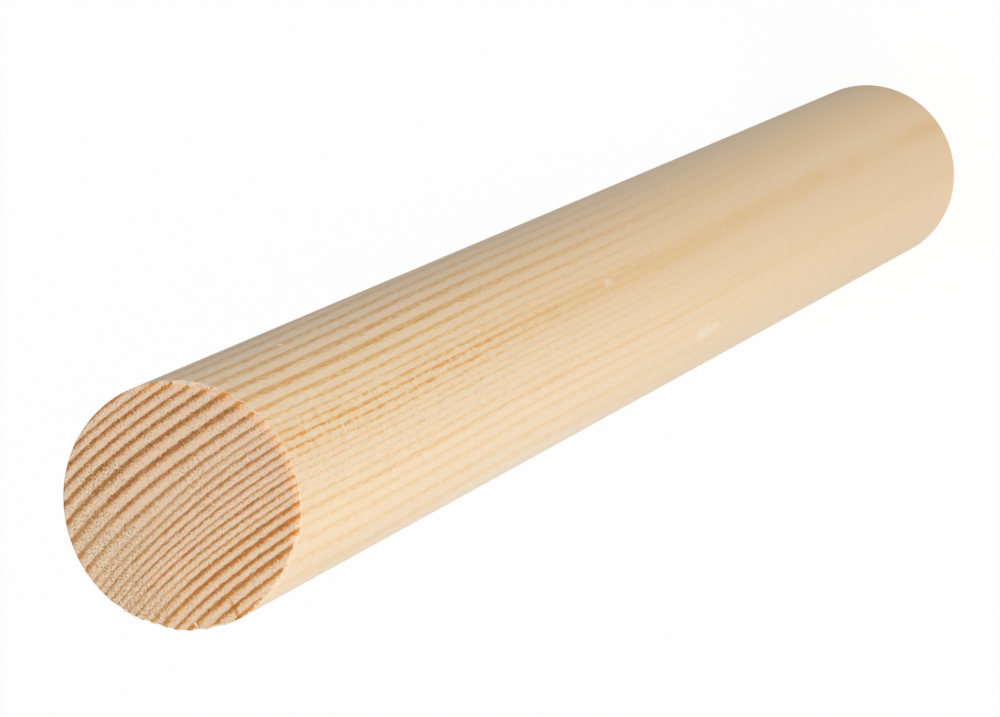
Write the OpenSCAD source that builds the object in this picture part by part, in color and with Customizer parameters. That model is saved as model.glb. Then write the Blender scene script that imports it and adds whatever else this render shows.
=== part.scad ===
// Wooden dowel rod: round softwood stock with a sanded foot and a rough-sawn end.
// The rod stands on its foot at z = 0, its axis is +Z, and the sawn end looks up.
// Soft wood between the growth rings has torn out along one stretch of the sawn rim.

/* [Rod] */
// Diameter of the rod
rod_d = 28; // [16:0.5:60]
// Length of the rod, from the foot to the sawn end
rod_l = 300; // [50:1:1200]

/* [Edges] */
// Radius of the sanded edge round the foot
foot_round = 0.6; // [0.2:0.1:3]
// Width of the arris round the sawn end, which the saw left nearly sharp
sawn_arris = 0.1; // [0.05:0.05:1]

/* [Growth rings] */
// Distance from the axis of the rod to the pith of the tree
pith_dist = 84; // [60:1:200]
// Direction of the pith seen from the axis, in degrees from +X towards +Y
pith_dir = 194; // [0:1:359]
// Growth of one year, measured along a line to the pith
year_w = 1.2; // [0.8:0.05:3]

/* [Torn rim] */
// Where the torn stretch starts, in degrees round the axis from the pith
torn_from = 19; // [5:1:60]
// Where the torn stretch ends, in degrees round the axis from the pith
torn_to = 79; // [70:1:170]
// Depth of the deepest chip, measured in from the side of the rod
chip_depth = 0.35; // [0.1:0.05:1]
// Radius of the hollow that a chip leaves
chip_r = 2; // [1.2:0.1:4]
// Share of its depth that a chip loses by the end of the torn stretch
chip_fade = 0.6; // [0:0.05:0.9]
// Step in degrees from one chip to the next that makes their depths uneven
chip_beat = 80; // [0:5:180]

/* [Hidden] */

rod_r = rod_d / 2;
// Share by which the depths of the chips rise and fall from one to the next
chip_swing = 0.4;
$fn = 96;

// Distance from the pith to the point on the rim at an angle from the pith
function rim_to_pith(angle) =
    sqrt(pow(pith_dist, 2) + pow(rod_r, 2) - 2 * pith_dist * rod_r * cos(angle));

// Angle from the pith at which a ring of a given radius crosses the rim
function ring_at_rim(ring_r) =
    acos((pow(pith_dist, 2) + pow(rod_r, 2) - pow(ring_r, 2)) / (2 * pith_dist * rod_r));

first_ring = rim_to_pith(torn_from);
last_ring = rim_to_pith(torn_to);
years = max(1, floor((last_ring - first_ring) / year_w));

// One chip lies midway between two rings
function chip_angle(year) = ring_at_rim(first_ring + (year + 0.5) * year_w);

// The chips get shallower away from the pith, and rise and fall on the way
function chip_bite(year) =
    chip_depth * (1 - chip_fade * year / years) * (1 - chip_swing + chip_swing * cos(chip_beat * year));

// Half section of the rod: a stack of the rounded foot, the straight side and the sawn arris
module half_section() {
    straight_l = rod_l - foot_round - sawn_arris;
    square([rod_r - foot_round, rod_l - sawn_arris]);
    translate([rod_r - foot_round, foot_round])
        circle(r = foot_round);
    translate([0, foot_round])
        square([rod_r, straight_l]);
    polygon([
        [0, rod_l - sawn_arris],
        [rod_r, rod_l - sawn_arris],
        [rod_r - sawn_arris, rod_l],
        [0, rod_l]
    ]);
}

// The hollow of one chip: a round scoop, deepest at the sawn end, that runs out down the side
module chip(depth) {
    translate([rod_r - depth + chip_r, 0, rod_l])
        sphere(r = chip_r);
}

// All chips, one to each year that crosses the torn stretch of the rim
module torn_rim() {
    for (year = [0 : years - 1])
        rotate([0, 0, pith_dir - chip_angle(year)])
            chip(chip_bite(year));
}

module dowel_rod() {
    color("burlywood")
        difference() {
            rotate_extrude()
                half_section();
            torn_rim();
        }
}

dowel_rod();
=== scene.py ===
# %% [markdown]
# # A pine dowel rod
# The real thing is one straight piece of pine, turned round and sanded along its side, and cut
# to length with a coarse saw. Nothing is joined to it, so the whole lesson is about two things:
# how a plain turned shape gets the small accidents of a saw cut, and how one piece of wood shows
# the same growth rings as stripes along its side and as arcs across its end.
# The imported part gives the size. It stands on its foot, with its axis on +Z.

# %% Load the frame and take the rod's size from it
import math
from types import SimpleNamespace

import bmesh
import bpy
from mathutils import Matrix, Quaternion, Vector, noise


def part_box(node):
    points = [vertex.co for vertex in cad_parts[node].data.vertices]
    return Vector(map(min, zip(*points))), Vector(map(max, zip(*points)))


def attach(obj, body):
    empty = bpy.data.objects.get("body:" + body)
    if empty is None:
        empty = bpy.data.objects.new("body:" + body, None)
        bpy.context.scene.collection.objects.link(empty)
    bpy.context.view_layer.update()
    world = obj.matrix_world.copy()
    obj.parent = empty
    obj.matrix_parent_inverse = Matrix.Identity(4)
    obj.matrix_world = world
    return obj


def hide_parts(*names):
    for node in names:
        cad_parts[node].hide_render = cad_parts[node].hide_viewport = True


MM = 0.001  # Blender works in metres, and a maker thinks of a rod in millimetres

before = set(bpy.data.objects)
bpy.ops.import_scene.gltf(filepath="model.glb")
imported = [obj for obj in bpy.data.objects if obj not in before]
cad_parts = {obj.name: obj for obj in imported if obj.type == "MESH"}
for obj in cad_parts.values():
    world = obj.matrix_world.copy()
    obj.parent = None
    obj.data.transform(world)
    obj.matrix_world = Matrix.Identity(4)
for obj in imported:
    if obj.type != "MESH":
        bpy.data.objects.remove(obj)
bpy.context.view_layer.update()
low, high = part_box("dowel_rod")
ROD_R = (high[0] - low[0]) / 2 / MM
ROD_L = (high[2] - low[2]) / MM
print(f"rod: {2 * ROD_R:.1f} mm across, {ROD_L:.1f} mm long")

# %% [markdown]
# ## The tree inside the rod
# A growth ring is a year of wood: pale, soft early wood, then a darker and harder line of late
# wood that ends sharply where the next spring begins. The rings are circles about the pith,
# which in this rod lies far outside it, so they cross the end as gentle arcs. A rod is never
# sawn quite along the grain, so the pith leans and the stripes drift along the side.
# Real years are uneven. Their widths are written here as a short list, because a formula would
# give a regular pattern that no tree has. Both the mesh and the materials read these values.

# %% Describe the growth rings, in millimetres
PITH = (-81.0, -20.5)  # where the pith lies at the height of the sawn end
LEAN = (-1.6, -0.6)  # how far it moves sideways for each 100 mm down the rod
THICKER = 0.024  # how much thicker the tree was for each 100 mm further down, as a share
WAVE = (0.4, 0.14, 3.0)  # a bend in the rings across the rod: height, turn for each mm, start
SWAY = (0.16, 0.05, 0.35)  # a slow bend along the rod: height, turn for each mm, start
SWELL = (0.7, 0.5, 5.5, 3.0)  # a swelling of some years: height, middle, reach to each side
SWELL_FROM, SWELL_TO = -8.0, 6.0  # it grows between these places on the Y axis
FIRST_EDGE = -16.75  # the end of the first year, measured from the rod's axis away from the pith
YEAR_WIDTHS = [
    1.2, 1.3, 1.2, 1.2, 1.5, 1.1, 1.35, 1.15, 0.8, 0.9, 1.0, 0.75, 0.9, 1.0,
    1.1, 1.0, 0.95, 1.15, 1.4, 1.8, 1.75, 1.5, 1.3, 1.35, 1.0, 1.2, 1.2, 1.2, 1.3,
]
# How dark the late wood of each year is where it is cut across, and along the sanded side
END_DARKNESS = [
    0.5, 0.5, 0.55, 0.72, 0.78, 0.88, 1.0, 0.84, 0.37, 0.5, 0.52, 0.28, 0.45, 0.4,
    0.45, 0.34, 0.27, 0.4, 0.5, 0.6, 0.62, 0.6, 0.56, 0.6, 0.5, 0.5, 0.5, 0.5, 0.5,
]
SIDE_DARKNESS = [
    0.2, 0.2, 0.22, 0.24, 0.24, 0.26, 0.36, 0.24, 0.13, 0.21, 0.31, 0.25, 0.4, 0.76,
    1.0, 0.65, 0.45, 0.58, 0.78, 0.95, 0.84, 0.7, 0.58, 0.45, 0.35, 0.35, 0.35, 0.35, 0.35,
]
PITH_DISTANCE = math.hypot(*PITH)
YEAR_EDGES = [FIRST_EDGE]
for width in YEAR_WIDTHS:
    YEAR_EDGES.append(YEAR_EDGES[-1] + width)
RING_SPAN = YEAR_EDGES[-1] - YEAR_EDGES[0]
print(f"{len(YEAR_WIDTHS)} years cross {RING_SPAN:.1f} mm")

# %% Find the ring at a point of the sawn end
LINE_STARTS, LINE_ENDS = (0.5, 0.75), (0.93, 1.0)  # shares of a year where its dark line comes and goes


def ramp(value, start, end):
    """0 before the start, 1 after the end, and smooth between them."""
    share = min(max((value - start) / (end - start), 0), 1)
    return share * share * (3 - 2 * share)


def ring_distance(x, y):
    """Which ring passes through a point of the sawn end, as its distance from the rod's axis."""
    height, turn, start = WAVE
    distance = math.hypot(x - PITH[0], y - PITH[1]) - PITH_DISTANCE
    distance += height * math.sin(turn * y + start)
    height, turn, start = SWAY
    distance += height * math.sin(start)
    height, middle, inner, outer = SWELL
    hump = min(1 - (middle - distance) / inner, 1 - (distance - middle) / outer)
    return distance + height * max(hump, 0) * ramp(y, SWELL_FROM, SWELL_TO)


def late_wood(x, y):
    """How much late wood there is at a point of the sawn end, from 0 to 1."""
    distance = ring_distance(x, y)
    for year, edge in enumerate(YEAR_EDGES[1:]):
        if distance < edge:
            share = 1 - (edge - distance) / YEAR_WIDTHS[year]
            return ramp(share, *LINE_STARTS) * (1 - ramp(share, *LINE_ENDS)) * END_DARKNESS[year]
    return 0.0


print(f"late wood at the middle of the sawn end: {late_wood(0, 0):.2f}")

# %% [markdown]
# ## The camera
# The picture looks down the rod from beyond its sawn end, with a long lens from nearly a metre
# away and the camera rolled over, so that the standing rod lies across the picture.
# The camera is made first, because every later choice is judged through it.

# %% Set up the camera
CAMERA_AT = Vector((0.0, -252.9, 866.6)) * MM
CAMERA_AIM = Vector((-0.9, 14.7, 150.0)) * MM
CAMERA_ROLL = 116.05  # degrees, clockwise
CAMERA_LENS = 202.56  # focal length, in millimetres
CAMERA_CLIP = (0.05, 20)  # nothing nearer or further than this shows, in metres


def make_camera():
    data = bpy.data.cameras.new("camera")
    data.lens = CAMERA_LENS
    data.clip_start, data.clip_end = CAMERA_CLIP
    camera = bpy.data.objects.new("camera", data)
    bpy.context.scene.collection.objects.link(camera)
    camera.location = CAMERA_AT
    camera.rotation_mode = "QUATERNION"
    straight = (CAMERA_AIM - CAMERA_AT).to_track_quat("-Z", "Y")
    camera.rotation_quaternion = straight @ Quaternion((0, 0, 1), math.radians(-CAMERA_ROLL))
    bpy.context.scene.camera = camera
    return camera


camera = make_camera()
print("camera looks from", tuple(round(c, 3) for c in camera.location))

# %% [markdown]
# ## Turning the rod
# On a real lathe a round thing is a profile swept about an axis, and Blender's spin does the
# same. The profile starts at the middle of the sawn end, crosses it, goes over the sharp edge
# and down the side, rounds the foot and ends at its middle. Stations are close together where
# the saw left detail, and far apart along the plain side, because flat stretches need no points.

# %% Turn the bare rod on the lathe
SPIN_STEPS = 690  # how many slices the full turn has
END_STEP = 0.125  # spacing of the stations across the sawn end
ARRIS, FOOT_ROUND = 0.1, 0.6  # the edges of the sawn end and of the foot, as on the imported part
TORN_STATIONS = [0.1, 0.2, 0.35, 0.5, 0.7, 0.9, 1.2, 1.6, 2.1, 3.0, 5.0, 10.0, 20.0]  # below the end
SIDE_STATIONS = 10
FOOT_STATIONS = 6
FOOT_SHARES = (0.75, 0.5, 0.25, 0)  # stations across the flat of the foot
NOTHING = 0.001 * MM  # points closer together than this are one point


def lathe_profile():
    """Points (radius, height) from the middle of the sawn end to the middle of the foot."""
    flat = ROD_R - ARRIS
    steps = round(flat / END_STEP)
    points = [(flat * i / steps, ROD_L) for i in range(steps + 1)]
    points += [(ROD_R, ROD_L - drop) for drop in TORN_STATIONS]
    top = ROD_L - TORN_STATIONS[-1]
    for i in range(1, SIDE_STATIONS + 1):
        points.append((ROD_R, top + (FOOT_ROUND - top) * i / SIDE_STATIONS))
    for i in range(1, FOOT_STATIONS + 1):
        turn = math.radians(90 * i / FOOT_STATIONS)
        points.append((ROD_R - FOOT_ROUND + FOOT_ROUND * math.cos(turn),
                       FOOT_ROUND - FOOT_ROUND * math.sin(turn)))
    points += [((ROD_R - FOOT_ROUND) * share, 0) for share in FOOT_SHARES]
    return points


def turn_rod():
    """Spins the profile once about the axis, and joins the points where it meets the axis."""
    bm = bmesh.new()
    verts = [bm.verts.new((radius * MM, 0, height * MM)) for radius, height in lathe_profile()]
    edges = [bm.edges.new(pair) for pair in zip(verts, verts[1:])]
    bmesh.ops.spin(bm, geom=verts + edges, cent=(0, 0, 0), axis=(0, 0, 1), dvec=(0, 0, 0),
                   angle=math.tau, steps=SPIN_STEPS, use_merge=True, use_duplicate=False)
    middle = [v for v in bm.verts if math.hypot(v.co.x, v.co.y) < NOTHING]
    bmesh.ops.remove_doubles(bm, verts=middle, dist=NOTHING)
    bmesh.ops.recalc_face_normals(bm, faces=bm.faces)
    return bm


rod_mesh = turn_rod()
print(f"turned rod: {len(rod_mesh.verts)} points")

# %% [markdown]
# ## What the saw did
# A coarse saw cuts hard late wood cleanly and pulls at the soft early wood. So the late wood
# stands a few hundredths of a millimetre proud, the early wood is rough, and one patch near the
# torn edge is pulled up into fuzz. Where the blade left the wood, the early wood between the
# hard rings has broken out of the rim. Each of these is a small move of the points that the
# lathe made, worked out from the ring that a point lies on.

# %% Say where the rim is torn
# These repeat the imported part's own values, so that the chips of both lie in the same places
TORN_FROM, TORN_TO = 19.0, 79.0  # degrees round the rod, from the direction of the pith
CHIP_DEPTH = 0.35  # the deepest chip
CHIP_R = 2.0  # the hollow that a chip leaves
CHIP_FADE = 0.6  # the share of its depth that a chip loses by the end of the torn stretch
CHIP_SWING, CHIP_BEAT = 0.4, 80.0  # how the depths rise and fall: by what share, and how fast
PART_PITH = (84.0, 194.0)  # the pith's distance from the axis, and its direction in degrees
PART_YEAR = 1.2  # the part takes all years to be this wide


def list_chips():
    """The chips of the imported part, as pairs of an angle on the rim and a depth."""
    away, bearing = PART_PITH
    reach = [math.sqrt(away ** 2 + ROD_R ** 2 - 2 * away * ROD_R * math.cos(math.radians(turn)))
             for turn in (TORN_FROM, TORN_TO)]
    years = math.floor((reach[1] - reach[0]) / PART_YEAR)
    chips = []
    for year in range(years):
        ring = reach[0] + (year + 0.5) * PART_YEAR
        turn = math.acos((away ** 2 + ROD_R ** 2 - ring ** 2) / (2 * away * ROD_R))
        swing = 1 - CHIP_SWING + CHIP_SWING * math.cos(math.radians(CHIP_BEAT * year))
        chips.append((bearing - math.degrees(turn), CHIP_DEPTH * (1 - CHIP_FADE * year / years) * swing))
    return chips


chips = list_chips()
print("chips at", [round(angle) for angle, _ in chips], "degrees")

# %% Tear the rim
RIM_BAND = 1.2  # how far in from the rim the end gives way to the chips
CHIP_SECTOR = 0.5  # no chip reaches further round the rim than this, in radians


def chip_limit(angle, depth_down):
    """Radius that is left at an angle round the rim and a depth below the sawn end."""
    limit = ROD_R
    for chip_angle, depth in chips:
        centre = ROD_R - depth + CHIP_R
        turn = math.radians((angle - chip_angle + 180) % 360 - 180)
        across = CHIP_R ** 2 - depth_down ** 2 - (centre * math.sin(turn)) ** 2
        if abs(turn) < CHIP_SECTOR and across > 0:
            limit = min(limit, centre * math.cos(turn) - math.sqrt(across))
    return limit


def pull_in(v, radius, limit):
    """Moves a point near the rim inwards, to the wall of a chip."""
    inner = ROD_R - RIM_BAND
    if limit < ROD_R and radius > inner:
        squeezed = inner + (radius - inner) * (limit - inner) / RIM_BAND
        v.co.x *= squeezed / radius
        v.co.y *= squeezed / radius


print(f"the deepest chip leaves a radius of {min(chip_limit(angle, 0) for angle, _ in chips):.2f} mm")

# %% Say where the saw pulled the wood up
# Patches of fuzz on the sawn end: where they lie along X and Y, and how far they reach each way
FUZZ_PATCHES = [(-4.5, 10.3, 5.6, 2.7), (1.8, 10.6, 3.8, 3.0), (-9.0, 7.6, 2.2, 1.9), (-1.0, 7.4, 2.0, 1.6)]
FUZZ_REACH = 1.3  # a patch fades out at this many times its size


def fuzz(x, y):
    """How badly the saw pulled the wood up at a point of the sawn end, from 0 to 1."""
    worst = 0
    for cx, cy, rx, ry in FUZZ_PATCHES:
        worst = max(worst, FUZZ_REACH - math.hypot((x - cx) / rx, (y - cy) / ry))
    return min(max(worst, 0), 1)


print(f"fuzz near the torn rim: {fuzz(-4, 11):.2f}, and in the middle: {fuzz(0, 0):.2f}")

# %% Roughen the sawn end
LATE_PROUD = 0.06  # how far the late wood stands above the early wood
SAW_ROUGHNESS, SAW_GRAIN = 0.03, 3.1  # how rough the saw left the wood, and how finely
FUZZ_HEIGHT, FUZZ_GRAIN = 0.07, (4.4, 5.2)
FRONT_FROM, FRONT_TO = (-172, -150), (-30, 0)  # degrees round the rim where the front comes and goes
BURR_WIDTH, BURR_DEPTH = 0.45, 0.16  # the edge that is rubbed off along the front
BURR_GRAIN = 0.8  # how finely its width and depth vary
SAWN_DEPTH = 3.5  # nothing changes further than this below the sawn end
SIDE_REACH = 1.2  # how far down the side the points give way when the edge is lowered


def front(angle):
    """1 along the front of the rim, where the edge is rubbed off, and 0 elsewhere."""
    return ramp(angle, *FRONT_FROM) * (1 - ramp(angle, *FRONT_TO))


def edge_drop(x, y, radius, angle):
    """How far a point sinks where the edge is rubbed off."""
    uneven = noise.noise(Vector((x, y, 3)) * BURR_GRAIN)
    rubbed = ramp(radius, ROD_R - BURR_WIDTH * (1 + 0.5 * uneven), ROD_R)
    return -BURR_DEPTH * front(angle) * rubbed * (1 + uneven)


def saw_relief(x, y, lift):
    """Adds to the lift of a point what the saw did: proud late wood, a rough cut and fuzz."""
    across, along = FUZZ_GRAIN
    rough = noise.fractal(Vector((x, y, 0)) * SAW_GRAIN, 1.0, 2.0, 3)
    pulled = noise.fractal(Vector((x * across, y * along, 7)), 1.0, 2.0, 3)
    lift += LATE_PROUD * (late_wood(x, y) - 1)
    lift += SAW_ROUGHNESS * rough
    lift += FUZZ_HEIGHT * fuzz(x, y) * (pulled - 0.25)
    return lift


def saw_the_end(bm):
    moved = 0
    for v in bm.verts:
        x, y, z = v.co / MM
        depth_down = ROD_L - z
        if depth_down > SAWN_DEPTH:
            continue
        radius = math.hypot(x, y)
        angle = math.degrees(math.atan2(y, x))
        pull_in(v, radius, chip_limit(angle, depth_down))
        lift = edge_drop(x, y, radius, angle)
        if depth_down < ARRIS / 2:
            lift = saw_relief(x, y, lift)
        else:
            lift *= max(1 - depth_down / SIDE_REACH, 0)
        v.co.z += min(lift, 0.0) * MM
        moved += 1
    return moved


print(f"sawn end: {saw_the_end(rod_mesh)} points shaped")

# %% [markdown]
# ## From a mesh to a piece
# The mesh gets three materials, by where a face lies and which way it looks. Edges between two materials
# stay sharp, and all others shade smoothly. The piece then stands for the packed part's node.

# %% Finish the rod as an object
SIDE, SAWN_END, FOOT = 0, 1, 2
END_BAND, FOOT_BAND = 1.0, 0.01  # a face this near to an end may belong to it


def choose_material(face):
    """Which material a face gets."""
    middle = face.calc_center_median() / MM
    if middle.z > ROD_L - END_BAND and abs(face.normal.z) > 0.5:
        return SAWN_END
    return FOOT if middle.z < FOOT_BAND else SIDE


def finish_rod(bm):
    for face in bm.faces:
        face.smooth = True
        face.material_index = choose_material(face)
    for edge in bm.edges:
        slots = {face.material_index for face in edge.link_faces}
        edge.smooth = len(slots) == 1
    mesh = bpy.data.meshes.new("pine_rod")
    bm.to_mesh(mesh)
    bm.free()
    rod = bpy.data.objects.new("pine_rod", mesh)
    bpy.context.scene.collection.objects.link(rod)
    return rod


rod = finish_rod(rod_mesh)
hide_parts("dowel_rod")
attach(rod, "root")
print(f"pine_rod: {sum(len(p.vertices) - 2 for p in rod.data.polygons)} triangles")

# %% [markdown]
# ## Small tools for materials
# A material is a chain of nodes. A few short helpers keep the chains readable. The first three
# add a node and fill its inputs, do one step of arithmetic, and step smoothly from 0 to 1.

# %% Helpers that add nodes
def add_node(tree, kind, inputs=None, **settings):
    """Adds a node. Inputs are values or the sockets that feed them."""
    node = tree.nodes.new(kind)
    for name, value in settings.items():
        setattr(node, name, value)
    for key, value in (inputs or {}).items():
        feed(tree, node.inputs[key], value)
    return node


def feed(tree, socket, value):
    """Fills an input with a value, or links it to the socket that feeds it."""
    if isinstance(value, bpy.types.NodeSocket):
        tree.links.new(value, socket)
    else:
        socket.default_value = value


def calc(tree, operation, *values, clamp=False):
    """One step of arithmetic. MULTIPLY_ADD multiplies the first two values and adds the third."""
    node = add_node(tree, "ShaderNodeMath", dict(enumerate(values)), operation=operation)
    node.use_clamp = clamp
    return node.outputs[0]


def smooth_step(tree, value, start, end):
    """0 at the start and 1 at the end. The start may be the larger of the two."""
    node = add_node(tree, "ShaderNodeMapRange", {"Value": value, "From Min": start, "From Max": end},
                    interpolation_type="SMOOTHSTEP")
    return node.outputs["Result"]


print("node helpers ready")

# %% [markdown]
# Some things are quicker to draw than to calculate, such as how dark a ring is from spring to
# autumn, so one helper reads a value off a curve. The others deal with colours, which are
# chosen as they look on a screen and turned into the light values that shaders need.

# %% Helpers for curves and colours
def draw_curve(tree, value, points, straight=False):
    """Reads a value off a drawn curve from 0 to 1."""
    node = add_node(tree, "ShaderNodeFloatCurve", {"Value": value})
    curve = node.mapping.curves[0]
    for x, y in points[1:-1]:
        curve.points.new(x, y)
    for place, (x, y) in zip(curve.points, points):
        place.location = (x, y)
        place.handle_type = "VECTOR" if straight else "AUTO_CLAMPED"
    node.mapping.update()
    return node.outputs[0]


def screen(red, green, blue):
    """A colour given as it looks on a screen, from 0 to 255."""
    light = []
    for part in (red, green, blue):
        share = part / 255
        light.append(share / 12.92 if share <= 0.04045 else ((share + 0.055) / 1.055) ** 2.4)
    return (*light, 1.0)


def colour_steps(tree, value, steps):
    """A ramp of colours."""
    node = add_node(tree, "ShaderNodeValToRGB", {"Fac": value})
    elements = node.color_ramp.elements
    while len(elements) < len(steps):
        elements.new(0.5)
    for element, (place, colour) in zip(elements, steps):
        element.position = place
        element.color = colour
    return node.outputs["Color"]


def mix_colour(tree, factor, first, second, blend="MIX"):
    """Mixes two colours. At a factor of 0 only the first shows, unless the two are multiplied."""
    node = add_node(tree, "ShaderNodeMix", data_type="RGBA", blend_type=blend)
    for key, value in (("Factor_Float", factor), ("A_Color", first), ("B_Color", second)):
        feed(tree, next(s for s in node.inputs if s.identifier == key), value)
    return next(s for s in node.outputs if s.identifier == "Result_Color")


print("a warm cream in light values:", tuple(round(part, 3) for part in screen(247, 222, 189)))

# %% [markdown]
# A pattern that several materials share is kept in a node group, a box with named inputs and
# outputs that is built once and placed where it is needed.

# %% Helpers for node groups
FLOAT, VECTOR = "NodeSocketFloat", "NodeSocketVector"


def new_group(name, inputs, outputs):
    """A node group with named inputs and outputs."""
    group = bpy.data.node_groups.new(name, "ShaderNodeTree")
    for label, kind, value in inputs:
        socket = group.interface.new_socket(label, in_out="INPUT", socket_type=kind)
        if value is not None:
            socket.default_value = value
    for label, kind in outputs:
        group.interface.new_socket(label, in_out="OUTPUT", socket_type=kind)
    return group, group.nodes.new("NodeGroupInput"), group.nodes.new("NodeGroupOutput")


def place_group(tree, group, inputs):
    """Puts a group to work. The group is set before its inputs exist to be filled."""
    node = add_node(tree, "ShaderNodeGroup", node_tree=group)
    for label, value in inputs.items():
        feed(tree, node.inputs[label], value)
    return node


def vector_calc(tree, operation, *vectors):
    """One step of arithmetic on three numbers at once."""
    return add_node(tree, "ShaderNodeVectorMath", dict(enumerate(vectors)), operation=operation)


print("group helpers ready")

# %% [markdown]
# ## Growth rings as a shader
# The same rings have to show on the side, the sawn end and the foot, and join at the edges, so
# they are one node group that works in space and not on a surface. Its first half measures how
# far a point lies from the leaning pith. The bends and the swelling of the years are added to
# that distance, just as the mesh adds them.

# %% Measure the distance from the pith
QUARTER_TURN = 0.12  # the side is cut straight across the rings a little off the middle
QUARTER_FADE = (0.58, 0.05)  # how squarely the side faces the pith where the cut turns flat


def find_pith(group, across_x, across_y, down):
    """The way from the leaning pith to a point: along X, along Y, and in all."""
    from_x = calc(group, "SUBTRACT", across_x, calc(group, "MULTIPLY_ADD", down, LEAN[0], PITH[0]))
    from_y = calc(group, "SUBTRACT", across_y, calc(group, "MULTIPLY_ADD", down, LEAN[1], PITH[1]))
    square = calc(group, "MULTIPLY_ADD", from_x, from_x, calc(group, "MULTIPLY", from_y, from_y))
    return from_x, from_y, calc(group, "SQRT", square)


def bend_rings(group, distance, across_y, down):
    """Adds the bends across and along the rod."""
    along = calc(group, "MULTIPLY", down, 100.0)
    for run, (height, turn, start) in ((across_y, WAVE), (along, SWAY)):
        bend = calc(group, "SINE", calc(group, "MULTIPLY_ADD", run, turn, start))
        distance = calc(group, "MULTIPLY_ADD", bend, height, distance)
    return distance


def swell_rings(group, distance, across_y):
    """Adds the swelling of some years."""
    height, middle, inner, outer = SWELL
    hump = calc(group, "MINIMUM",
                calc(group, "MULTIPLY_ADD", distance, 1 / inner, 1 - middle / inner),
                calc(group, "MULTIPLY_ADD", distance, -1 / outer, 1 + middle / outer))
    grown = smooth_step(group, across_y, SWELL_FROM, SWELL_TO)
    hump = calc(group, "MULTIPLY", calc(group, "MAXIMUM", hump, 0.0), grown)
    return calc(group, "MULTIPLY_ADD", hump, height, distance)


def find_quarter(group, across, way, away):
    """1 where the side cuts the rings straight across, and 0 where it runs along them."""
    facing = calc(group, "MULTIPLY_ADD", across[0], way[0], calc(group, "MULTIPLY", across[1], way[1]))
    facing = calc(group, "DIVIDE", facing, calc(group, "MULTIPLY", away, ROD_R))
    facing = calc(group, "ABSOLUTE", calc(group, "ADD", facing, QUARTER_TURN))
    return smooth_step(group, facing, *QUARTER_FADE)


print(f"the rings curve about a pith {PITH_DISTANCE:.0f} mm away")

# %% [markdown]
# The second half turns the distance into years. A curve made from the list of widths counts
# them, and the part after the decimal point is the season: 0 at the start of spring and 1 at
# the end of autumn. Across an end, the dark line is sharp on the bark side and combed by rays
# on the pith side, so a fine noise moves the season everywhere but at the end of the year.

# %% Build the growth ring group
WANDER = (0.9, 0.9, 0.05)  # how fast a ring wanders across the rod and along it
COMB_SCALE, COMB_STRETCH = 8.0, 0.2  # how fine the rays are, and how long they run along a ray
AUTUMN = 0.9  # from here on the line isn't combed


def wander_rings(group, position, raggedness, distance):
    """Lets the rings wander a little, as they do in a real tree."""
    along = vector_calc(group, "MULTIPLY", position, WANDER)
    wander = add_node(group, "ShaderNodeTexNoise",
                      {"Vector": along.outputs[0], "Scale": 1.0, "Detail": 3.0}, noise_dimensions="3D")
    wander = calc(group, "SUBTRACT", wander.outputs["Fac"], 0.5)
    return calc(group, "MULTIPLY_ADD", wander, calc(group, "MULTIPLY", raggedness, 4.0), distance)


def count_years(group, place):
    """How many years have passed at a place on the line away from the pith, and a part of one."""
    years = len(YEAR_WIDTHS)
    counted = [((edge - YEAR_EDGES[0]) / RING_SPAN, i / years) for i, edge in enumerate(YEAR_EDGES)]
    return calc(group, "MULTIPLY", draw_curve(group, place, counted, straight=True), years)


def comb_season(group, season, amount, distance, rounds):
    """Moves the season to and fro by the rays, up to the end of autumn."""
    stretched = calc(group, "MULTIPLY", distance, COMB_STRETCH)
    comb_at = add_node(group, "ShaderNodeCombineXYZ", {"X": rounds, "Y": stretched})
    comb = add_node(group, "ShaderNodeTexNoise",
                    {"Vector": comb_at.outputs[0], "Scale": COMB_SCALE, "Detail": 2.0, "Roughness": 0.7},
                    noise_dimensions="2D")
    combed = calc(group, "SUBTRACT", comb.outputs["Fac"], 0.5)
    combed = calc(group, "MULTIPLY_ADD", combed, amount, season)
    combed = calc(group, "MAXIMUM", combed, 0.0)
    return calc(group, "MINIMUM", combed, calc(group, "MAXIMUM", season, AUTUMN))


def build_growth_rings():
    group, source, result = new_group(
        "Growth rings",
        [("Position", VECTOR, None), ("Comb", FLOAT, 0.0), ("Raggedness", FLOAT, 0.06)],
        [("Season", FLOAT), ("Year", FLOAT), ("Distance", FLOAT), ("Round", FLOAT), ("Quarter", FLOAT)])
    position = source.outputs["Position"]
    across_x, across_y, up = add_node(group, "ShaderNodeSeparateXYZ", {0: position}).outputs
    down = calc(group, "MULTIPLY_ADD", up, -0.01, ROD_L / 100)  # from the sawn end, in 100 mm
    from_x, from_y, away = find_pith(group, across_x, across_y, down)
    thinner = calc(group, "MULTIPLY_ADD", down, -THICKER, 1.0)
    distance = calc(group, "MULTIPLY_ADD", away, thinner, -PITH_DISTANCE)
    distance = bend_rings(group, distance, across_y, down)
    distance = swell_rings(group, distance, across_y)
    rounds = calc(group, "MULTIPLY", calc(group, "ARCTAN2", from_y, from_x), PITH_DISTANCE)
    quarter = find_quarter(group, (across_x, across_y), (from_x, from_y), away)

    ragged = wander_rings(group, position, source.outputs["Raggedness"], distance)
    place = calc(group, "MULTIPLY_ADD", ragged, 1 / RING_SPAN, -YEAR_EDGES[0] / RING_SPAN)
    season = calc(group, "FRACT", count_years(group, place))
    combed = comb_season(group, season, source.outputs["Comb"], distance, rounds)
    for label, value in (("Season", combed), ("Year", place), ("Distance", ragged),
                         ("Round", rounds), ("Quarter", quarter)):
        group.links.new(value, result.inputs[label])
    return group


growth_rings = build_growth_rings()
print(f"growth ring group: {len(growth_rings.nodes)} nodes")

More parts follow.
